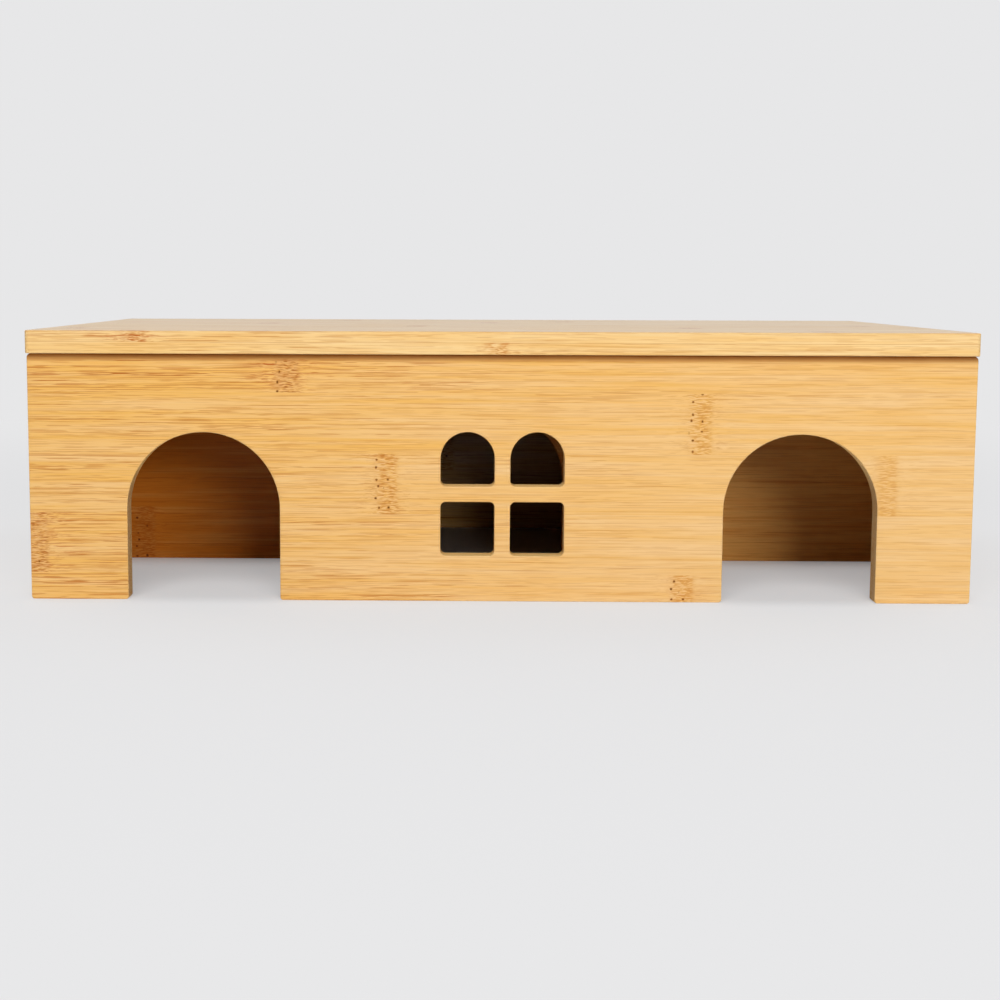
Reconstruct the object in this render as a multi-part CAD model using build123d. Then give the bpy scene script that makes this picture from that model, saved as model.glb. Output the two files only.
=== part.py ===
from build123d import *
import os

os.makedirs("parts", exist_ok=True)

# A low hamster house of laminated bamboo: an open-bottomed box of six chambers under a lift-off lid.
# Millimetres. X runs along the front, Y from the front to the back, and Z up.
# The origin is on the floor, under the middle of the house.

# The box
house_length = 320.0
house_depth = 197.0
wall_height = 84.0
panel_thickness = 8.0

# Sanding that every board gets
board_corner_radius = 1.5
foot_radius = 1.0
edge_easing = 0.4

# Arched doorways, all cut to one pattern
doorway_width = 52.0
doorway_height = 57.5
front_doorway_spacing = 202.5

# Window of four panes in the front panel
pane_width = 18.35
pane_height = 18.5
pane_corner_radius = 1.8
window_bar_width = 5.3
window_sill_height = 15.6

# The front panel's cutouts sit this far right of its middle
front_doorway_offset = 0.6
window_offset = 1.0

# Inner boards
divider_thickness = 8.0
divider_spacing = 104.0
housing_depth = 2.5
glue_clearance = 0.05

# Glued dowels between the side panels and the front and back panels
joint_dowel_diameter = 4.0
joint_dowel_length = 20.0
joint_dowel_depth_in_panel = 5.0
joint_dowel_low_height = 18.0
joint_dowel_high_height = 66.0
joint_dowel_end_gap = 0.5

# The lid, and the pins in the side panels that it drops over
lid_thickness = 7.8
lid_side_overhang = 0.2
lid_front_and_back_overhang = 2.0
lid_pin_diameter = 4.0
lid_pin_length = 12.0
lid_pin_standing_height = 4.0
lid_pin_chamfer = 0.6
lid_pin_distance_from_face = 20.0
lid_pin_clearance = 0.3
lid_pin_end_gap = 0.6

# Planes that the boards stand in
front_face_y = -house_depth / 2
front_inner_y = front_face_y + panel_thickness
side_middle_x = house_length / 2 - panel_thickness / 2
side_inner_x = house_length / 2 - panel_thickness
divider_x = divider_spacing / 2
lid_pin_y = house_depth / 2 - lid_pin_distance_from_face


def arched_doorway():
    """Doorway outline standing on the floor line: straight jambs under a half-round head."""
    head_radius = doorway_width / 2
    spring_height = doorway_height - head_radius
    jambs = Rectangle(doorway_width, spring_height, align=(Align.CENTER, Align.MIN))
    return jambs + Pos(0, spring_height) * Circle(head_radius)


def square_pane():
    """Lower window pane, standing on its own lower edge, with four small round corners."""
    pane = Rectangle(pane_width, pane_height, align=(Align.CENTER, Align.MIN))
    return fillet(pane.vertices(), pane_corner_radius)


def arched_pane():
    """Upper window pane: small round corners at the bottom and a half-round top."""
    top_radius = pane_width / 2
    lower_part = Rectangle(pane_width, pane_height - top_radius, align=(Align.CENTER, Align.MIN))
    lower_part = fillet(lower_part.vertices().group_by(Axis.Y)[0], pane_corner_radius)
    return lower_part + Pos(0, pane_height - top_radius) * Circle(top_radius)


def window():
    """The four panes, with a cross of bars left between them."""
    column_shift = (pane_width + window_bar_width) / 2
    upper_row_height = window_sill_height + pane_height + window_bar_width
    panes = Sketch()
    for column_x in (-column_shift, column_shift):
        panes += Pos(column_x, window_sill_height) * square_pane()
        panes += Pos(column_x, upper_row_height) * arched_pane()
    return panes


def round_feet(outline):
    """Round the points where doorway jambs meet the floor line, and leave the board's own ends square."""
    feet = outline.vertices().group_by(Axis.Y)[0].sort_by(Axis.X)[1:-1]
    return fillet(feet, foot_radius) if feet else outline


def round_corners_and_feet(outline):
    """Round the board's four corners too."""
    outline = fillet(outline.vertices().group_by(Axis.Y)[0], foot_radius)
    return fillet(outline.vertices().group_by(Axis.Y)[-1], board_corner_radius)


def housing(length_z, thickness):
    """Groove cutter that takes the end of an inner board, centred on the panel's inner face."""
    width = divider_thickness + 2 * glue_clearance
    return Box(width, thickness, length_z, align=(Align.CENTER, Align.CENTER, Align.MIN))


def round_rod(diameter, length):
    """A rod along Z that starts at the origin."""
    return Cylinder(diameter / 2, length, align=(Align.CENTER, Align.CENTER, Align.MIN))


def joint_dowel_places(face_sign):
    """Where the dowels leave the front (-1) or back (+1) panel's blind holes, pointing to the sides."""
    start_y = face_sign * (house_depth / 2 - panel_thickness + joint_dowel_depth_in_panel)
    toward_middle = Rot(X=90) if face_sign > 0 else Rot(X=-90)
    places = []
    for x in (-side_middle_x, side_middle_x):
        for z in (joint_dowel_low_height, joint_dowel_high_height):
            places.append(Pos(x, start_y, z) * toward_middle)
    return places


def joint_dowel_holes(face_sign):
    """Cutters for the dowels of one panel, a little wider than the dowels and longer inwards."""
    diameter = joint_dowel_diameter + 2 * glue_clearance
    length = joint_dowel_length + joint_dowel_end_gap
    holes = Part()
    for place in joint_dowel_places(face_sign):
        holes += place * round_rod(diameter, length)
    return holes


def joint_dowels(face_sign):
    """The four dowels between one long panel and the side panels."""
    return Compound(
        children=[place * round_rod(joint_dowel_diameter, joint_dowel_length)
                  for place in joint_dowel_places(face_sign)]
    )


def long_panel(face_sign, cutouts):
    """Front (-1) or back (+1) panel, which covers the ends of the side panels."""
    outline = Rectangle(house_length, wall_height, align=(Align.CENTER, Align.MIN))
    outline = round_corners_and_feet(outline - cutouts)
    middle_y = face_sign * (house_depth / 2 - panel_thickness / 2)
    panel = extrude(Plane.XZ.offset(-middle_y) * outline, panel_thickness / 2, both=True)
    faces = panel.faces().sort_by(Axis.Y)
    panel = fillet(faces[0].edges() + faces[-1].edges(), edge_easing)
    inner_y = face_sign * (house_depth / 2 - panel_thickness)
    for x in (-divider_x, divider_x):
        panel -= Pos(x, inner_y, 0) * housing(wall_height, 2 * housing_depth)
    return panel - joint_dowel_holes(face_sign)


def front_panel():
    """Front panel with two doorways and the window between them."""
    cutouts = Pos(window_offset, 0) * window()
    for x in (-front_doorway_spacing / 2, front_doorway_spacing / 2):
        cutouts += Pos(front_doorway_offset + x, 0) * arched_doorway()
    return long_panel(-1, cutouts)


def back_panel():
    """Plain back panel."""
    return long_panel(1, Sketch())


def lid_pin_place(side_sign, end_sign):
    """Foot of a lid pin, at the bottom of its hole in a side panel's top edge."""
    foot_z = wall_height + lid_pin_standing_height - lid_pin_length
    return Pos(side_sign * side_middle_x, end_sign * lid_pin_y, foot_z)


def side_panel(side_sign):
    """Left (-1) or right (+1) side panel, between the front and back panels."""
    length = house_depth - 2 * panel_thickness
    outline = Rectangle(length, wall_height, align=(Align.CENTER, Align.MIN))
    middle_x = side_sign * side_middle_x
    panel = extrude(Plane.YZ.offset(middle_x) * outline, panel_thickness / 2, both=True)
    panel = fillet(panel.edges().filter_by(Axis.Y), edge_easing)
    cutter = Rot(Z=90) * housing(wall_height, 2 * housing_depth)
    panel -= Pos(side_sign * side_inner_x, 0, 0) * cutter
    for end_sign in (-1, 1):
        panel -= joint_dowel_holes(end_sign)
        hole = round_rod(lid_pin_diameter + 2 * glue_clearance, lid_pin_length)
        panel -= lid_pin_place(side_sign, end_sign) * hole
    return panel


def inner_board(plane, length, doorway_places):
    """Upright board centred on a plane, with doorways and with square ends for its housings."""
    outline = Rectangle(length, wall_height, align=(Align.CENTER, Align.MIN))
    for place in doorway_places:
        outline -= Pos(place, 0) * arched_doorway()
    outline = round_feet(outline)
    board = extrude(plane * outline, divider_thickness / 2, both=True)
    faces = board.faces().filter_by(Axis(plane.origin, plane.z_dir)).sort_by(Axis(plane.origin, plane.z_dir))
    sanded = (faces[0].edges() + faces[-1].edges()).filter_by(Axis.Z, reverse=True)
    return fillet(sanded, edge_easing)


def halving_slot(x, bottom_z):
    """Slot cutter at a crossing: one board's thickness wide and half the walls' height tall."""
    width = divider_thickness + 2 * glue_clearance
    align = (Align.CENTER, Align.CENTER, Align.MIN)
    return Pos(x, 0, bottom_z) * Box(width, width, wall_height / 2, align=align)


def long_partition():
    """Board along the middle of the house, with a doorway between the two middle chambers."""
    length = 2 * (side_inner_x + housing_depth)
    board = inner_board(Plane.XZ, length, [window_offset])
    for x in (-divider_x, divider_x):
        board -= halving_slot(x, wall_height / 2)
    return board


def cross_divider(side_sign):
    """Board from front to back, with a doorway each side of the long partition."""
    length = 2 * (-front_inner_y + housing_depth)
    bay_middle = (-front_inner_y + divider_thickness / 2) / 2
    plane = Plane.YZ.offset(side_sign * divider_x)
    board = inner_board(plane, length, [-bay_middle, bay_middle])
    return board - halving_slot(side_sign * divider_x, 0)


def lid_pins():
    """Four pins glued into the side panels, with a small chamfer where the lid drops over them."""
    pins = []
    for side_sign in (-1, 1):
        for end_sign in (-1, 1):
            pin = round_rod(lid_pin_diameter, lid_pin_length)
            pin = chamfer(pin.edges().group_by(Axis.Z)[-1], lid_pin_chamfer)
            pins.append(lid_pin_place(side_sign, end_sign) * pin)
    return Compound(children=pins)


def lid():
    """Flat board that rests on the walls, with blind holes underneath for the pins."""
    length = house_length + 2 * lid_side_overhang
    depth = house_depth + 2 * lid_front_and_back_overhang
    outline = Rectangle(length, depth)
    outline = fillet(outline.vertices(), board_corner_radius)
    board = extrude(Plane.XY.offset(wall_height) * outline, lid_thickness)
    faces = board.faces().sort_by(Axis.Z)
    board = fillet(faces[0].edges() + faces[-1].edges(), edge_easing)
    hole_depth = lid_pin_standing_height + lid_pin_end_gap
    hole = round_rod(lid_pin_diameter + 2 * lid_pin_clearance, hole_depth)
    for x in (-side_middle_x, side_middle_x):
        for y in (-lid_pin_y, lid_pin_y):
            board -= Pos(x, y, wall_height) * hole
    return board


pieces = {
    "front_panel": front_panel(),
    "back_panel": back_panel(),
    "left_side_panel": side_panel(-1),
    "right_side_panel": side_panel(1),
    "long_partition": long_partition(),
    "left_divider": cross_divider(-1),
    "right_divider": cross_divider(1),
    "front_joint_dowels": joint_dowels(-1),
    "back_joint_dowels": joint_dowels(1),
    "lid_pins": lid_pins(),
    "lid": lid(),
}

for name, piece in pieces.items():
    export_step(piece, f"parts/{name}.step")
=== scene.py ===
import math
from typing import NamedTuple

import bpy
import numpy as np
from mathutils import Matrix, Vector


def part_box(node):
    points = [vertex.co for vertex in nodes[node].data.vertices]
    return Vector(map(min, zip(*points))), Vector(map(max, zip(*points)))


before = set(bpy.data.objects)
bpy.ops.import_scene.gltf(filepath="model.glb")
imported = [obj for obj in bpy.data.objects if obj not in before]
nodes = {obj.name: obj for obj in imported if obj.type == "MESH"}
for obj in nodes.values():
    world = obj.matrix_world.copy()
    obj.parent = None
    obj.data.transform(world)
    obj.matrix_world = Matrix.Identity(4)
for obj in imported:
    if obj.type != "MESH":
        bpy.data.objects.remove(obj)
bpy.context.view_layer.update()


# ---------------------------------------------------------------- front panel
# One board of bamboo strips, edge-glued in two plies, with both doorways and the window routed out of it.
# The strips lie along the house, and each has its own knuckles. It is sanded all over, its arrises are eased,
# and it has a thin satin lacquer.

MM = 0.001


class Graph:
    """Adds nodes to one shader node tree. Any input may be another node's socket or a plain value."""

    def __init__(self, tree):
        self.tree = tree

    def put(self, socket, value):
        """Link another socket to this one, or set a plain value on it."""
        if isinstance(value, bpy.types.NodeSocket):
            self.tree.links.new(value, socket)
        else:
            socket.default_value = value

    def node(self, kind, inputs=(), **settings):
        """Add any node, with its settings, and with inputs given by name or by number."""
        made = self.tree.nodes.new(kind)
        for name, value in settings.items():
            setattr(made, name, value)
        for name, value in dict(inputs).items():
            self.put(made.inputs[name], value)
        return made

    def maths(self, operation, *values):
        return self.node("ShaderNodeMath", enumerate(values), operation=operation).outputs[0]

    def plus(self, first, second):
        return self.maths("ADD", first, second)

    def minus(self, first, second):
        return self.maths("SUBTRACT", first, second)

    def times(self, first, *others):
        for other in others:
            first = self.maths("MULTIPLY", first, other)
        return first

    def over(self, first, second):
        return self.maths("DIVIDE", first, second)

    def size(self, value):
        return self.maths("ABSOLUTE", value)

    def larger(self, first, second):
        return self.maths("MAXIMUM", first, second)

    def smaller(self, first, second):
        return self.maths("MINIMUM", first, second)

    def step(self, value, low, high, start=0.0, end=1.0):
        """Smooth step: start where value is at or under low, end where it is at or over high."""
        inputs = {"Value": value, "From Min": low, "From Max": high, "To Min": start, "To Max": end}
        made = self.node("ShaderNodeMapRange", inputs, interpolation_type="SMOOTHSTEP")
        return made.outputs["Result"]

    def bell(self, value, reach, power):
        """1 / (1 + |value / reach| ^ power): a flat-topped hump around zero."""
        steep = self.maths("POWER", self.size(self.over(value, reach)), power)
        return self.over(1.0, self.plus(1.0, steep))

    def mix(self, amount, first, second):
        """Colour that goes from first to second as amount goes from 0 to 1."""
        made = self.node("ShaderNodeMix", {0: amount, 6: first, 7: second}, data_type="RGBA")
        return made.outputs[2]

    def point(self, x, y, z):
        return self.node("ShaderNodeCombineXYZ", {"X": x, "Y": y, "Z": z}).outputs[0]

    def split(self, vector):
        """The vector's X, Y and Z."""
        return self.node("ShaderNodeSeparateXYZ", {0: vector}).outputs

    def parts(self, colour):
        """The colour's red, green and blue."""
        return self.node("ShaderNodeSeparateColor", {"Color": colour}).outputs

    def millimetres(self, place):
        return self.node("ShaderNodeVectorMath", {0: place, 1: [1 / MM] * 3}, operation="MULTIPLY").outputs[0]

    def grain_point(self, wood, length, width, seed):
        """Place in the wood counted in streaks: (along / length, across / width, through / width + seed)."""
        along, across, through = wood
        return self.point(self.over(along, length), self.over(across, width),
                          self.plus(self.over(through, width), seed))

    def streaks(self, wood, length, width, seed, detail=2.0):
        """Noise drawn out along the grain, in streaks about length long and width wide, in millimetres."""
        inputs = {"Vector": self.grain_point(wood, length, width, seed), "Scale": 1.0, "Detail": detail,
                  "Roughness": 0.6}
        return self.node("ShaderNodeTexNoise", inputs).outputs

    def threads(self, wood, length, width, seed, share):
        """Straight lines about width wide, which come and go every length along the grain. A larger share
        shows more of them: step(noise that hardly changes along the board) x step(noise length long)."""
        line = self.streaks(wood, WHOLE_BOARD, width, seed, detail=1.0)["Fac"]
        run = self.streaks(wood, length, 2.2 * width, seed, detail=1.0)["Fac"]
        low = 0.62 - 0.3 * share
        return self.times(self.step(line, low, low + 0.10), self.step(run, low - 0.04, low + 0.08))


def tint(red, green, blue):
    """Linear colour of a paint-card tint in steps of 0 to 255."""
    steps = [value / 255 for value in (red, green, blue)]
    return [v / 12.92 if v <= 0.04045 else ((v + 0.055) / 1.055) ** 2.4 for v in steps] + [1.0]


def new_group(name, inputs, outputs):
    """An empty node group. Returns its graph, the values given to it and the results asked of it."""
    tree = bpy.data.node_groups.new(name, "ShaderNodeTree")
    for label, kind in inputs.items():
        tree.interface.new_socket(label, in_out="INPUT", socket_type=kind)
    for label, kind in outputs.items():
        tree.interface.new_socket(label, in_out="OUTPUT", socket_type=kind)
    return Graph(tree), tree.nodes.new("NodeGroupInput").outputs, tree.nodes.new("NodeGroupOutput").inputs


NUMBER, COLOUR = "NodeSocketFloat", "NodeSocketColor"

# How the sheet is glued up, in millimetres. Each ply's seams lie beside those of the ply before it, and it
# starts at another strip of the list.
STRIP_WIDTH = 20.6
PLY_THICKNESS = 4.0
PLY_SHIFT = 8.3
PLY_TURN = 3.0
STRIP_SEED = 13.7
PLY_SEED = 71.3


def strip_layout_group():
    """How a board is glued up. It cuts the board's width into strips and its thickness into plies, and gives
    each strip its place in the list, its seed, and the distance to the nearest glue line in millimetres."""
    graph, given, result = new_group(
        "strip_layout",
        {"Across": NUMBER, "Through": NUMBER, "First Seam": NUMBER, "Strip Width": NUMBER,
         "Ply Thickness": NUMBER, "Strips": NUMBER},
        {"Strip Share": NUMBER, "Seed": NUMBER, "Seam Distance": NUMBER})
    plies = graph.over(given["Through"], given["Ply Thickness"])
    ply = graph.maths("FLOOR", plies)
    from_seam = graph.plus(graph.minus(given["Across"], given["First Seam"]), graph.times(ply, PLY_SHIFT))
    strips = graph.over(from_seam, given["Strip Width"])
    number = graph.plus(graph.maths("FLOOR", strips), 1.0)
    place = graph.maths("FLOORED_MODULO", graph.plus(number, graph.times(ply, PLY_TURN)), given["Strips"])
    to_seam = graph.times(graph.maths("PINGPONG", strips, 0.5), given["Strip Width"])
    to_ply = graph.times(graph.maths("PINGPONG", plies, 0.5), given["Ply Thickness"])
    graph.put(result["Strip Share"], graph.over(graph.plus(place, 0.5), given["Strips"]))
    graph.put(result["Seed"], graph.plus(graph.times(number, STRIP_SEED), graph.times(ply, PLY_SEED)))
    graph.put(result["Seam Distance"], graph.smaller(to_seam, to_ply))
    return graph.tree


# Sizes in the grain, in millimetres: a length that no board reaches, half the knuckle's length, how far its
# ragged edge strays, how far from it the fibres bend, how far they drift elsewhere, how far apart the pores
# are, where along the knuckle the column of pores and the few stray ones stand, how wide the column is, where
# ticks and gold fade in along the knuckle, and how far a glue line reaches from its middle
WHOLE_BOARD = 400.0
KNUCKLE_REACH = 4.0
KNUCKLE_RAG = 2.4
BEND_REACH = 9.0
GRAIN_DRIFT = 1.2
PORE_SPACING = 3.2
PORE_SHIFT = 0.6
PORE_COLUMN = -2.2
STRAY_PORES = 1.0
PORE_COLUMN_REACH = (1.5, 1.8)
TICKS_FADE_IN = (-3.0, -0.5)
GOLD_FADES_IN = (-4.0, 0.0)
GLUE_LINE_REACH = (0.04, 0.2)


def bamboo_group():
    """Bamboo cut lengthwise. Pale pith carries darker fibre bundles that run straight along the strip. At a
    knuckle they bend, break into short ticks and redden, and a column of small dark pores stands there."""
    graph, given, result = new_group(
        "bamboo",
        {"Along": NUMBER, "Across": NUMBER, "Through": NUMBER, "Seed": NUMBER, "Knuckle": NUMBER,
         "Redness": NUMBER, "Boldness": NUMBER, "Gold": NUMBER, "Seam Distance": NUMBER, "Cut End": NUMBER,
         "Arris": NUMBER, "Edge": NUMBER, "Painted Shade Under Lid": NUMBER, "Strength": NUMBER,
         "Pale": COLOUR, "Body": COLOUR, "Fibre": COLOUR, "Red": COLOUR, "Pore": COLOUR, "Cut": COLOUR},
        {"Color": COLOUR, "Roughness": NUMBER, "Lacquer": NUMBER, "Height": NUMBER})
    straight = [given[name] for name in ("Along", "Across", "Through")]
    along, across, through = straight
    seed, knuckle, strength = given["Seed"], given["Knuckle"], given["Strength"]
    pale, body, fibre, red, pore = (given[name] for name in ("Pale", "Body", "Fibre", "Red", "Pore"))

    # The knuckle is a band with ragged edges, in a wider zone where the fibres bend.
    rag = graph.minus(graph.streaks(straight, 6.0, 0.6, seed)["Fac"], 0.5)
    band = graph.bell(graph.plus(knuckle, graph.times(rag, KNUCKLE_RAG)), KNUCKLE_REACH, 12.0)
    broken = graph.times(band, strength)
    unbroken = graph.minus(1.0, broken)
    near = graph.times(graph.bell(knuckle, BEND_REACH, 4.0), strength)
    slow = graph.parts(graph.streaks(straight, 110.0, 11.0, seed, detail=1.0)["Color"])
    bent = graph.parts(graph.streaks(straight, 4.5, 1.5, seed, detail=1.5)["Color"])
    wood = [along]
    for line, part in ((across, 0), (through, 1)):
        drift = graph.times(graph.minus(slow[part], 0.5), GRAIN_DRIFT)
        bend = graph.times(graph.minus(bent[part], 0.5), near)
        wood.append(graph.plus(line, graph.plus(drift, bend)))

    # Pith: soft bands of pale and gold, broad ones and narrow ones.
    broad = graph.streaks(wood, 80.0, 2.6, seed, detail=1.5)["Fac"]
    narrow = graph.streaks(wood, 36.0, 0.7, seed, detail=1.0)["Fac"]
    tone = graph.plus(graph.step(broad, 0.3, 0.7, -0.28, 0.28), graph.step(narrow, 0.3, 0.7, -0.13, 0.13))
    tone = graph.plus(tone, given["Gold"])
    colour = graph.mix(graph.larger(graph.smaller(tone, 1.0), 0.0), pale, body)

    # Fibre: thin lines everywhere, and darker dashes and runs where the strip is bold.
    bold = given["Boldness"]
    lines = graph.threads(wood, 30.0, 0.35, seed, share=0.35)
    hair = graph.threads(wood, 10.0, 0.24, graph.plus(seed, 2.0), share=0.50)
    runs = graph.threads(wood, 40.0, 0.50, graph.plus(seed, 5.0), share=0.08)
    dashes = graph.threads(wood, 14.0, 0.40, graph.plus(seed, 8.0), share=0.10)
    patchy = graph.step(graph.streaks(straight, 60.0, 4.0, seed, detail=1.0)["Fac"], 0.3, 0.7, 0.4, 1.6)
    golden = graph.times(lines, graph.plus(graph.times(bold, 0.55), 0.27), unbroken)
    colour = graph.mix(graph.smaller(golden, 1.0), colour, graph.mix(0.35, body, fibre))
    soft_lines = graph.times(lines, bold, 0.50)
    soft_hair = graph.times(hair, graph.plus(graph.times(bold, 0.65), 0.14))
    soft = graph.times(graph.plus(soft_lines, soft_hair), graph.plus(graph.times(patchy, 0.35), 0.65))
    bundled = graph.times(graph.larger(dashes, runs), patchy, bold, 1.4)
    clear = graph.plus(graph.times(bundled, graph.minus(1.0, graph.times(soft, 0.5))), soft)

    # Knuckle: golden pith, with close short ticks of dark fibre and pale pith. The fibre reddens near it.
    crowd = graph.streaks(wood, 3.2, 0.30, seed, detail=1.0)["Fac"]
    ticks = graph.times(graph.step(crowd, 0.50, 0.60), graph.step(knuckle, *TICKS_FADE_IN, 0.5, 1.0), broken)
    gilded = graph.times(broken, graph.step(knuckle, *GOLD_FADES_IN, 0.3, 0.9))
    colour = graph.mix(gilded, colour, graph.mix(0.12, body, fibre))
    colour = graph.mix(graph.times(broken, given["Redness"], 0.18), colour, red)
    fleck_depth = graph.minus(1.1, graph.times(given["Gold"], 0.8))
    flecks = graph.times(broken, graph.step(crowd, 0.50, 0.42), fleck_depth)
    colour = graph.mix(flecks, colour, pale)
    kept = graph.plus(graph.minus(1.0, graph.times(broken, 0.6)), graph.times(near, 0.2))
    tick_depth = graph.minus(graph.plus(graph.times(bold, 0.75), 0.35), graph.times(given["Redness"], 0.2))
    dark = graph.smaller(graph.plus(graph.times(clear, kept), graph.times(ticks, tick_depth)), 1.0)
    reddened = graph.times(graph.plus(near, graph.times(bold, patchy, 0.5)), given["Redness"])
    colour = graph.mix(dark, colour, graph.mix(graph.smaller(reddened, 1.0), fibre, red))
    deep = graph.step(graph.times(bold, given["Redness"]), 0.3, 0.7, 0.0, 0.35)
    colour = graph.mix(graph.times(ticks, deep), colour, pore)

    # A column of pores in the knuckle, and now and then a pore beside it.
    place = graph.point(graph.over(graph.plus(knuckle, PORE_SHIFT), PORE_SPACING),
                        graph.over(wood[1], PORE_SPACING), seed)
    pores = graph.node("ShaderNodeTexVoronoi", {"Vector": place, "Scale": 1.0, "Randomness": 0.5},
                       voronoi_dimensions="2D").outputs
    from_pore = graph.plus(pores["Distance"], graph.times(graph.minus(crowd, 0.5), 0.2))
    column = graph.step(graph.size(graph.minus(knuckle, PORE_COLUMN)), *PORE_COLUMN_REACH, 1.0, 0.0)
    beside = graph.step(graph.size(graph.minus(knuckle, STRAY_PORES)), *PORE_COLUMN_REACH, 1.0, 0.0)
    luck = graph.parts(pores["Color"])[0]
    shown = graph.plus(graph.times(column, graph.step(luck, 0.10, 0.20)),
                       graph.times(beside, graph.step(luck, 0.75, 0.85)))
    shown = graph.times(shown, graph.step(strength, 0.7, 1.0))
    spot = graph.times(graph.step(from_pore, 0.08, 0.12, 1.0, 0.0), shown)
    around = graph.times(graph.step(from_pore, 0.10, 0.20, 0.6, 0.0), shown)
    colour = graph.mix(spot, graph.mix(around, colour, fibre), pore)

    # Cut ends show the fibres as dots and drink more lacquer. Glue lines are thin and a little darker.
    dots = graph.step(graph.streaks(straight, WHOLE_BOARD, 0.5, seed, detail=1.0)["Fac"], 0.48, 0.6)
    cut = graph.mix(graph.times(dots, graph.step(tone, 0.0, 1.0, 0.25, 0.75)), given["Cut"], fibre)
    colour = graph.mix(graph.times(given["Cut End"], 0.85), colour, cut)
    seam = graph.step(given["Seam Distance"], *GLUE_LINE_REACH, 1.0, 0.0)
    colour = graph.mix(graph.times(seam, 0.35), colour, fibre)

    # Sanding leaves the arrises pale and handling marks them. The wall's top few millimetres under the lid's
    # overhang are darkened and browned with painted shade.
    rubbed = graph.step(graph.streaks(straight, 2.2, 2.2, seed)["Fac"], 0.35, 0.65, 0.1, 0.5)
    colour = graph.mix(graph.times(given["Arris"], rubbed), colour, graph.mix(0.5, pale, fibre))
    lid_shade_patches = graph.step(graph.streaks(straight, 14.0, 3.0, seed)["Fac"], 0.3, 0.7, 0.9, 1.0)
    lid_shade = graph.times(given["Painted Shade Under Lid"], lid_shade_patches)
    warm_lid_shade = graph.mix(graph.step(lid_shade, 0.0, 0.5, 0.0, 0.8), colour, graph.mix(0.5, body, red))
    deep_lid_shade = graph.mix(0.6, graph.mix(0.5, fibre, red), pore)
    colour = graph.mix(lid_shade, warm_lid_shade, deep_lid_shade)

    # An even sheen with smears in it, matt where the wood is cut and where the shade under the lid is
    # painted.
    # Fibre, pores and glue lines lie a little low.
    smears = graph.step(graph.streaks(straight, 60.0, 25.0, seed, detail=3.0)["Fac"], 0.3, 0.7, -0.05, 0.05)
    rough = graph.plus(graph.plus(graph.times(dark, 0.10), 0.36), smears)
    rough = graph.plus(rough, graph.times(graph.larger(given["Edge"], lid_shade), 0.45))
    low = graph.larger(graph.times(dark, 0.45), graph.larger(spot, graph.times(seam, 0.6)))
    graph.put(result["Color"], colour)
    graph.put(result["Roughness"], rough)
    graph.put(result["Lacquer"], graph.minus(1.0, graph.larger(given["Edge"], graph.larger(spot, lid_shade))))
    graph.put(result["Height"], graph.minus(1.0, low))
    return graph.tree


STRIP_LAYOUT = strip_layout_group()
BAMBOO = bamboo_group()
LACQUERED = {"Pale": tint(250, 218, 158), "Body": tint(246, 198, 106), "Fibre": tint(178, 106, 10),
             "Red": tint(178, 84, 16), "Pore": tint(44, 18, 3), "Cut": tint(198, 162, 114)}
SATIN = 0.35

# Every place along a board is within this reach, in millimetres from the middle of the house. A knuckle at
# the reach itself is off the board.
BOARD_REACH = 200.0
NO_KNUCKLE = BOARD_REACH


class Strip(NamedTuple):
    """One bamboo strip of a board. A knuckle is given by its place along the board in millimetres. Bold says
    how dark the fibre is and gold how golden the pith is, each at the board's low end and at its high end."""
    knuckle: float
    redness: float
    bold: tuple
    gold: tuple
    other_knuckle: float = NO_KNUCKLE


def strip_ramp(graph, share, colours):
    """One colour for each strip, lowest first, looked up by the strip's share of the count."""
    made = graph.node("ShaderNodeValToRGB", {"Fac": share})
    made.color_ramp.interpolation = "CONSTANT"
    stops = made.color_ramp.elements
    while len(stops) < len(colours):
        stops.new(1.0)
    for number, (stop, colour) in enumerate(zip(stops, colours)):
        stop.position = number / len(colours)
        stop.color = colour
    return list(graph.parts(made.outputs["Color"])[:3]) + [made.outputs["Alpha"]]


def knuckle_facts(graph, share, strips, along):
    """The distance along the strip from its nearer knuckle, that knuckle's strength, and the strip's redness.
    A strip's other knuckle is the fainter one."""
    whole = 2 * BOARD_REACH
    rows = [((strip.knuckle + BOARD_REACH) / whole, (strip.other_knuckle + BOARD_REACH) / whole,
             strip.redness, 1.0) for strip in strips]
    first, second, redness, _ = strip_ramp(graph, share, rows)
    to_first, to_second = (graph.minus(along, graph.maths("MULTIPLY_ADD", fact, whole, -BOARD_REACH))
                           for fact in (first, second))
    nearer = graph.maths("LESS_THAN", graph.size(to_first), graph.size(to_second))
    knuckle = graph.node("ShaderNodeMix", {"Factor": nearer, "A": to_second, "B": to_first}).outputs[0]
    return {"Knuckle": knuckle, "Strength": graph.step(nearer, 0.0, 1.0, 0.7, 1.0), "Redness": redness}


# A strip's looks go from its low end's to its high end's between these places along the board, in millimetres
LOW_END, HIGH_END = -140.0, 100.0


def end_to_end(graph, share, strips, along):
    """The strip's boldness and gold, each worked out between its two ends."""
    high_end = graph.step(along, LOW_END, HIGH_END)
    low_end = graph.minus(1.0, high_end)
    rows = [strip.bold + strip.gold for strip in strips]
    bold_low, bold_high, gold_low, gold_high = strip_ramp(graph, share, rows)
    boldness, gold = (graph.plus(graph.times(low, low_end), graph.times(high, high_end))
                      for low, high in ((bold_low, bold_high), (gold_low, gold_high)))
    return {"Boldness": boldness, "Gold": gold}


# The painted shade under the lid, in millimetres: where it starts and where it is full, counted up from the
# wall's top, and where it ends behind the outer face
WALL_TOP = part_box("front_panel")[1][2] / MM
LID_SHADE_STARTS = -3.1
LID_SHADE_FULL = 0.2
LID_SHADE_DEPTH = (0.2, 0.5)


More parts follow.
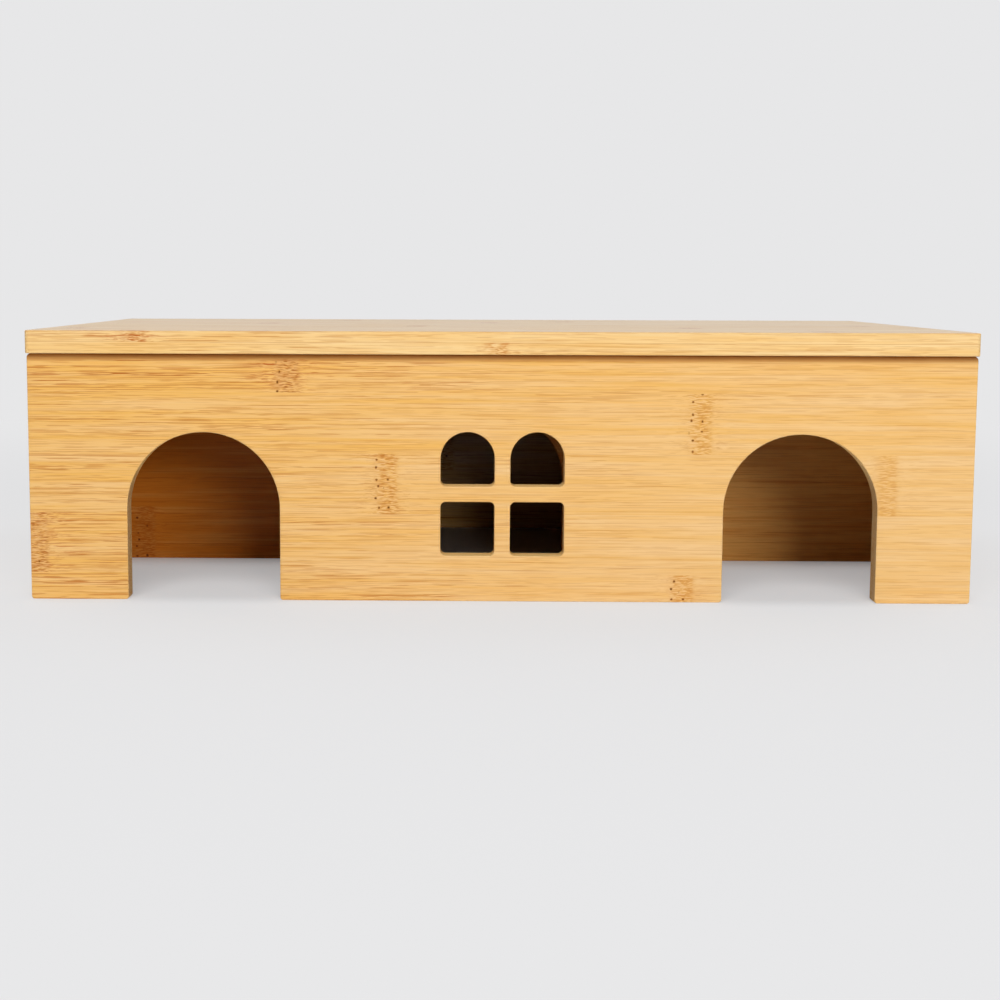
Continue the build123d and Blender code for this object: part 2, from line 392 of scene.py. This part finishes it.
def board_material(name, axes, start, strips, first_seam, seed, tints, lacquer, outer_face=None):
    """Bamboo board. axes names the axes that lie along, across and through it, and start gives the places
    from which the last two are counted. A wall has the place of its outer face too, where the shade under the
    lid's overhang is painted on as a brown band."""
    material = bpy.data.materials.new(name)
    material.use_nodes = True
    graph = Graph(material.node_tree)
    shader = material.node_tree.nodes["Principled BSDF"]
    coordinates = graph.node("ShaderNodeTexCoord").outputs
    place = graph.split(graph.millimetres(coordinates["Object"]))
    facing = graph.split(coordinates["Normal"])
    along_axis, across_axis, through_axis = ("XYZ".index(axis) for axis in axes)
    along = place[along_axis]
    across = graph.minus(place[across_axis], start[0] / MM)
    through = graph.minus(place[through_axis], start[1] / MM)

    layout = graph.node("ShaderNodeGroup", node_tree=STRIP_LAYOUT)
    for label, value in {"Across": across, "Through": through, "First Seam": first_seam,
                         "Strip Width": STRIP_WIDTH, "Ply Thickness": PLY_THICKNESS,
                         "Strips": float(len(strips))}.items():
        graph.put(layout.inputs[label], value)
    share = layout.outputs["Strip Share"]

    face = graph.size(facing[through_axis])
    # Painted shade under the lid: the wall's top few millimetres on its outer face.
    painted_lid_shade = 0.0
    if outer_face is not None:
        from_outside = graph.size(graph.minus(place[through_axis], outer_face))
        painted_lid_shade = graph.times(graph.step(place["Z"], WALL_TOP + LID_SHADE_STARTS, WALL_TOP + LID_SHADE_FULL),
                                graph.step(from_outside, *LID_SHADE_DEPTH, 1.0, 0.0))
    wood = graph.node("ShaderNodeGroup", node_tree=BAMBOO)
    for label, value in {"Along": along, "Across": across, "Through": through,
                         "Seed": graph.plus(layout.outputs["Seed"], seed),
                         "Seam Distance": layout.outputs["Seam Distance"],
                         **knuckle_facts(graph, share, strips, along),
                         **end_to_end(graph, share, strips, along),
                         "Cut End": graph.step(graph.size(facing[along_axis]), 0.8, 1.0),
                         "Arris": graph.times(face, graph.minus(1.0, face), 4.0),
                         "Edge": graph.step(face, 0.3, 0.9, 1.0, 0.0), "Painted Shade Under Lid": painted_lid_shade,
                         **tints}.items():
        graph.put(wood.inputs[label], value)

    relief = {"Height": wood.outputs["Height"], "Distance": 0.05 * MM, "Strength": 0.5}
    bump = graph.node("ShaderNodeBump", relief)
    graph.put(shader.inputs["Base Color"], wood.outputs["Color"])
    graph.put(shader.inputs["Roughness"], wood.outputs["Roughness"])
    graph.put(shader.inputs["Normal"], bump.outputs["Normal"])
    if lacquer:
        graph.put(shader.inputs["Coat Weight"], graph.times(wood.outputs["Lacquer"], lacquer))
    shader.inputs["Specular IOR Level"].default_value = 0.3 if lacquer else 0.1
    shader.inputs["Coat Roughness"].default_value = 0.3
    return material


def dress(node, material):
    """Give a CAD piece this material all over."""
    mesh = nodes[node].data
    mesh.materials.clear()
    mesh.materials.append(material)


def upright_start(node, axes):
    """Upright boards count their strips from the floor, and their plies from the face that comes first."""
    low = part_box(node)[0]
    return low[2], low["XYZ".index(axes[2])]


def outside_of(wall, axes):
    """Place of a wall's outer face on the axis through the wall."""
    return max((corner["XYZ".index(axes[2])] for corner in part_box(wall)), key=abs) / MM


LENGTHWISE, CROSSWISE, FLAT = "XZY", "YZX", "XYZ"

# The front ply's strips, from the floor up. Their fibre is bolder and their pith more golden at the left end
# than at the right, partly the wood's own tone and partly painted shade on the left and painted light on the
# right.
FRONT_STRIPS = [Strip(62.0, redness=0.8, bold=(0.70, 0.12), gold=(0.66, 0.30)),
                Strip(-158.0, redness=0.9, bold=(0.58, 0.11), gold=(0.66, 0.20)),
                Strip(-38.6, redness=0.2, bold=(0.52, 0.15), gold=(0.62, 0.26), other_knuckle=130.0),
                Strip(67.3, redness=0.1, bold=(0.50, 0.14), gold=(0.72, 0.42)),
                Strip(-72.0, redness=0.9, bold=(0.75, 0.22), gold=(0.84, 0.52))]
# The front panel's outer face is darkened and browned just under the lid with painted shade.
dress("front_panel",
      board_material("bamboo_front_panel", LENGTHWISE, upright_start("front_panel", LENGTHWISE), FRONT_STRIPS,
                     first_seam=9.3, seed=0.0, tints=LACQUERED, lacquer=SATIN,
                     outer_face=outside_of("front_panel", LENGTHWISE)))


# ---------------------------------------------------------------- back and side panels
# The other outside boards: the same stock as the front panel, cut from other places in the sheet, with the
# same lacquer. The side panels stand between the front and back panels.

OUTER_STRIPS = [Strip(-96.0, redness=0.6, bold=(0.45, 0.50), gold=(0.55, 0.50)),
                Strip(48.0, redness=0.8, bold=(0.50, 0.45), gold=(0.50, 0.45)),
                Strip(-20.0, redness=0.3, bold=(0.50, 0.35), gold=(0.60, 0.40)),
                Strip(120.0, redness=0.4, bold=(0.45, 0.55), gold=(0.45, 0.60)),
                Strip(-140.0, redness=0.7, bold=(0.60, 0.40), gold=(0.65, 0.50))]
for wall, axes, first_seam, seed in (("back_panel", LENGTHWISE, 5.0, 140.0),
                                     ("left_side_panel", CROSSWISE, 12.0, 260.0),
                                     ("right_side_panel", CROSSWISE, 3.0, 390.0)):
    # The back panel's outer face gets the painted shade under the lid too; the side panels don't.
    lid_shade_face = outside_of(wall, axes) if wall == "back_panel" else None
    dress(wall, board_material("bamboo_" + wall, axes, upright_start(wall, axes), OUTER_STRIPS, first_seam,
                               seed, LACQUERED, SATIN, lid_shade_face))


# ---------------------------------------------------------------- inner boards
# The long partition and the two dividers, which stand in housings and cross in halved joints: strips of the
# same bamboo, oiled and not lacquered. Their tints are deeper and redder than the outside boards', which
# paints the shade of the house's inside into them.

OILED_WITH_PAINTED_SHADE = {"Pale": tint(250, 190, 104), "Body": tint(216, 130, 42), "Fibre": tint(140, 66, 10),
         "Red": tint(158, 66, 14), "Pore": tint(84, 40, 12), "Cut": tint(190, 122, 52)}
# Their pith is deep at the low end and pale at the high end: along the long partition this is painted shade
# in the left front chamber and painted light in the right one.
INNER_STRIPS = [Strip(-137.0, redness=0.8, bold=(0.20, 0.12), gold=(1.00, 0.10)),
                Strip(60.0, redness=0.8, bold=(0.22, 0.12), gold=(1.05, 0.05)),
                Strip(-20.0, redness=0.3, bold=(0.18, 0.10), gold=(1.00, 0.15)),
                Strip(125.0, redness=0.5, bold=(0.18, 0.12), gold=(1.05, 0.10)),
                Strip(-110.0, redness=0.7, bold=(0.22, 0.10), gold=(1.10, 0.10))]
for board, axes, first_seam, seed in (("long_partition", LENGTHWISE, 20.4, 520.0),
                                      ("left_divider", CROSSWISE, 8.0, 650.0),
                                      ("right_divider", CROSSWISE, 14.0, 780.0)):
    dress(board, board_material("bamboo_" + board, axes, upright_start(board, axes), INNER_STRIPS, first_seam,
                                seed, OILED_WITH_PAINTED_SHADE, lacquer=0.0))


# ---------------------------------------------------------------- dowels and pins
# Plain hardwood dowel rod cut to length and glued in: pale, close grained and bare. The growth rings show as
# lengthwise lines on the side and as curves on the ends.

RING_PALE, RING_DEEP = tint(236, 214, 172), tint(218, 186, 136)
FLECK = tint(176, 134, 88)
HANDLED = tint(196, 158, 112)


def dowel_material(name, axes):
    """Hardwood rod that runs along the first of the axes. Growth rings are noise drawn out along the rod."""
    material = bpy.data.materials.new(name)
    material.use_nodes = True
    graph = Graph(material.node_tree)
    shader = material.node_tree.nodes["Principled BSDF"]
    place = graph.split(graph.millimetres(graph.node("ShaderNodeTexCoord").outputs["Object"]))
    wood = [place["XYZ".index(axis)] for axis in axes]
    rings = graph.step(graph.streaks(wood, 40.0, 0.7, 3.0)["Fac"], 0.35, 0.65)
    flecks = graph.threads(wood, 2.5, 0.16, 11.0, share=0.3)
    handled = graph.step(graph.streaks(wood, 6.0, 3.0, 17.0)["Fac"], 0.4, 0.7)
    colour = graph.mix(rings, RING_PALE, RING_DEEP)
    colour = graph.mix(graph.times(flecks, 0.6), colour, FLECK)
    colour = graph.mix(graph.times(handled, 0.25), colour, HANDLED)
    rough = graph.plus(graph.times(rings, 0.10), graph.plus(graph.times(flecks, 0.12), 0.52))
    height = graph.minus(1.0, graph.larger(flecks, graph.times(rings, 0.4)))
    bump = graph.node("ShaderNodeBump", {"Height": height, "Distance": 0.04 * MM, "Strength": 0.5})
    graph.put(shader.inputs["Base Color"], colour)
    graph.put(shader.inputs["Roughness"], rough)
    graph.put(shader.inputs["Normal"], bump.outputs["Normal"])
    shader.inputs["Specular IOR Level"].default_value = 0.3
    return material


for rods, axes in (("front_joint_dowels", "YXZ"), ("back_joint_dowels", "YXZ"), ("lid_pins", "ZXY")):
    dress(rods, dowel_material("hardwood_" + rods, axes))


# ---------------------------------------------------------------- lid
# One flat board of the same strips, lying on the walls over its pins. Its strips are counted from the front
# and its plies from underneath. It is a little less golden than the walls, and glossier.

LID_STRIPS = [Strip(-1.6, redness=0.5, bold=(0.40, 0.25), gold=(0.65, 0.55)),
              Strip(30.0, redness=0.3, bold=(0.45, 0.40), gold=(0.50, 0.45)),
              Strip(-60.0, redness=0.4, bold=(0.50, 0.40), gold=(0.55, 0.40)),
              Strip(-123.6, redness=0.8, bold=(0.50, 0.22), gold=(0.60, 0.50)),
              Strip(110.0, redness=0.5, bold=(0.45, 0.45), gold=(0.50, 0.50)),
              Strip(-150.0, redness=0.3, bold=(0.40, 0.40), gold=(0.45, 0.40)),
              Strip(70.0, redness=0.6, bold=(0.45, 0.45), gold=(0.60, 0.50)),
              Strip(-30.0, redness=0.3, bold=(0.40, 0.40), gold=(0.50, 0.45)),
              Strip(140.0, redness=0.4, bold=(0.45, 0.45), gold=(0.40, 0.50)),
              Strip(-90.0, redness=0.5, bold=(0.45, 0.40), gold=(0.55, 0.45))]
LID_TINTS = {**LACQUERED, "Pale": tint(233, 203, 149), "Body": tint(228, 184, 113)}
lid_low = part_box("lid")[0]
dress("lid",
      board_material("bamboo_lid", FLAT, (lid_low[1], lid_low[2]), LID_STRIPS, first_seam=14.0, seed=1040.0,
                     tints=LID_TINTS, lacquer=0.45))


# ---------------------------------------------------------------- floor
# A pale floor that fades into the pale surroundings. Inside the house it shows more of its real shade, and
# under the middle chambers it is painted a little darker, as painted shade.

BACKGROUND = tint(231, 231, 232)
FLOOR_TINT = tint(236, 236, 237)
MIDDLE_SHADE_TINT = tint(205, 202, 198)
FLOOR_RADIUS = 6.0
FLOOR_RINGS = 24
FLOOR_SPOKES = 96


def floor_disc():
    """Flat disc at z = 0, built as rings of radius r = R t^2 with t from 0 to 1."""
    rings, spokes = FLOOR_RINGS, FLOOR_SPOKES
    r = FLOOR_RADIUS * np.linspace(0.0, 1.0, rings + 1)[1:] ** 2
    angle = np.linspace(0.0, 2 * math.pi, spokes, endpoint=False)
    x = np.outer(r, np.cos(angle)).ravel()
    y = np.outer(r, np.sin(angle)).ravel()
    points = np.column_stack([x, y, np.zeros_like(x)])
    points = np.vstack([points, [0.0, 0.0, 0.0]])
    ring, spoke = np.meshgrid(np.arange(rings - 1), np.arange(spokes), indexing="ij")
    after = (spoke + 1) % spokes
    quads = np.stack([ring * spokes + spoke, (ring + 1) * spokes + spoke,
                      (ring + 1) * spokes + after, ring * spokes + after], -1).reshape(-1, 4)
    middle = [[rings * spokes, k, (k + 1) % spokes] for k in range(spokes)]
    mesh = bpy.data.meshes.new("floor")
    mesh.from_pydata(points.tolist(), [], quads.tolist() + middle)
    mesh.update()
    floor = bpy.data.objects.new("floor", mesh)
    bpy.context.scene.collection.objects.link(floor)
    return floor


# Metres from the middle of the house. Each pair says where a change starts and where it ends. The other two
# values say how far the floor is faded near the house, and how much real shade the front chambers show.
FADE = (0.20, 0.80)
FADE_NEAR_HOUSE = 0.75
MIDDLE_SIDES = (0.044, 0.05)
MIDDLE_ENDS = (0.08, 0.10)
INSIDE_SIDES = (0.15, 0.17)
INSIDE_FRONT = (-0.11, -0.09)
INSIDE_PARTITION = (-0.03, 0.02)
INSIDE_BACK = (0.09, 0.12)
FRONT_CHAMBERS_SHADE = 0.45

floor = floor_disc()
floor_paint = bpy.data.materials.new("floor_paint")
floor_paint.use_nodes = True
graph = Graph(floor_paint.node_tree)
paint = floor_paint.node_tree.nodes["Principled BSDF"]
paint.inputs["Roughness"].default_value = 0.9
where = graph.node("ShaderNodeTexCoord").outputs["Object"]
distance = graph.node("ShaderNodeVectorMath", {0: where}, operation="LENGTH").outputs["Value"]
from_middle = graph.split(where)
sideways, backwards = graph.size(from_middle["X"]), from_middle["Y"]
# Painted shade: the floor under the middle chambers is tinted darker.
middle = graph.times(graph.step(sideways, *MIDDLE_SIDES, 1.0, 0.0),
                     graph.step(graph.size(backwards), *MIDDLE_ENDS, 1.0, 0.0))
graph.put(paint.inputs["Base Color"], graph.mix(middle, FLOOR_TINT, MIDDLE_SHADE_TINT))
inside = graph.times(graph.step(sideways, *INSIDE_SIDES, 1.0, 0.0), graph.step(backwards, *INSIDE_FRONT),
                     graph.step(backwards, *INSIDE_PARTITION, FRONT_CHAMBERS_SHADE, 1.0),
                     graph.step(backwards, *INSIDE_BACK, 1.0, 0.0))
faded = graph.times(graph.step(distance, *FADE, FADE_NEAR_HOUSE, 1.0), graph.minus(1.0, inside))
seen = graph.node("ShaderNodeLightPath").outputs["Is Camera Ray"]
glow = graph.node("ShaderNodeEmission", {"Color": BACKGROUND, "Strength": 1.0})
blend = graph.node("ShaderNodeMixShader",
                   {0: graph.times(faded, seen), 1: paint.outputs[0], 2: glow.outputs[0]})
graph.put(floor_paint.node_tree.nodes["Material Output"].inputs["Surface"], blend.outputs[0])
floor.data.materials.append(floor_paint)


# ---------------------------------------------------------------- surroundings and lamps
# Even pale surroundings that give a weak light. A large soft lamp stands high in front, a smaller one low to
# the right, and two behind the sides.

world = bpy.data.worlds.new("studio")
bpy.context.scene.world = world
world.use_nodes = True
graph = Graph(world.node_tree)
sky = world.node_tree.nodes["Background"]
sky.inputs["Color"].default_value = tint(236, 238, 242)
sky.inputs["Strength"].default_value = 0.20
shown = graph.node("ShaderNodeBackground", {"Color": BACKGROUND, "Strength": 1.0})
path = graph.node("ShaderNodeLightPath").outputs
direction = graph.split(graph.node("ShaderNodeTexCoord").outputs["Generated"])
mirrored = graph.times(path["Is Glossy Ray"], graph.step(direction["Y"], 0.0, 0.5))
blend = graph.node("ShaderNodeMixShader",
                   {0: graph.larger(path["Is Camera Ray"], mirrored), 1: sky.outputs[0], 2: shown.outputs[0]})
graph.put(world.node_tree.nodes["World Output"].inputs["Surface"], blend.outputs[0])


def softbox(name, place, target, width, height, power):
    """A flat lamp at place, facing target. Metres and watts."""
    lamp = bpy.data.lights.new(name, "AREA")
    lamp.shape = "RECTANGLE"
    lamp.size = width
    lamp.size_y = height
    lamp.energy = power
    holder = bpy.data.objects.new(name, lamp)
    bpy.context.scene.collection.objects.link(holder)
    direction = np.array(target) - np.array(place)
    yaw = math.atan2(direction[1], direction[0])
    pitch = math.atan2(direction[2], math.hypot(direction[0], direction[1]))
    holder.matrix_world = (Matrix.Translation(place) @ Matrix.Rotation(yaw - math.pi / 2, 4, "Z")
                           @ Matrix.Rotation(pitch + math.pi / 2, 4, "X"))
    return holder


FRONT_MIDDLE = (0.0, -0.1, 0.04)
HOUSE_MIDDLE = (0.0, 0.0, 0.04)
softbox("key_light", (-0.16, -1.32, 1.22), FRONT_MIDDLE, width=0.9, height=0.9, power=17.0)
low_light = softbox("low_light", (0.52, -1.67, 0.38), FRONT_MIDDLE, width=0.6, height=0.3, power=10.8)
low_light.visible_glossy = False
for name, x in (("left_back_light", -1.1), ("right_back_light", 1.1)):
    softbox(name, (x, 0.80, 1.0), HOUSE_MIDDLE, width=1.2, height=1.2, power=6.5)


# ---------------------------------------------------------------- camera
# It stands in front of the house, a little above the lid. Its place is given from the middle of the front
# panel's foot: to the right, forwards and up. It is turned right of the Y axis, tipped down and rolled.

IMAGE_WIDTH = 1000
FOCAL_PIXELS = 1819.97
OPTICAL_AXIS_PIXEL = 425.78
CAMERA_RIGHT, CAMERA_FORWARDS, CAMERA_UP = -14.69 * MM, 613.39 * MM, 107.83 * MM
CAMERA_TURN, CAMERA_TIP, CAMERA_ROLL = math.radians(-0.960), math.radians(6.793), math.radians(0.170)
front_face_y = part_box("front_panel")[0][1]
camera_place = (CAMERA_RIGHT, front_face_y - CAMERA_FORWARDS, CAMERA_UP)
lens = bpy.data.cameras.new("camera")
lens.sensor_width = 36.0
lens.lens = FOCAL_PIXELS * lens.sensor_width / IMAGE_WIDTH
lens.shift_x = 0.5 - OPTICAL_AXIS_PIXEL / IMAGE_WIDTH
lens.clip_start = 0.01
camera = bpy.data.objects.new("camera", lens)
bpy.context.scene.collection.objects.link(camera)
camera.matrix_world = (Matrix.Translation(camera_place) @ Matrix.Rotation(-CAMERA_TURN, 4, "Z")
                       @ Matrix.Rotation(math.pi / 2 - CAMERA_TIP, 4, "X")
                       @ Matrix.Rotation(CAMERA_ROLL, 4, "Z"))
bpy.context.scene.camera = camera
bpy.context.scene.view_settings.view_transform = "Standard"
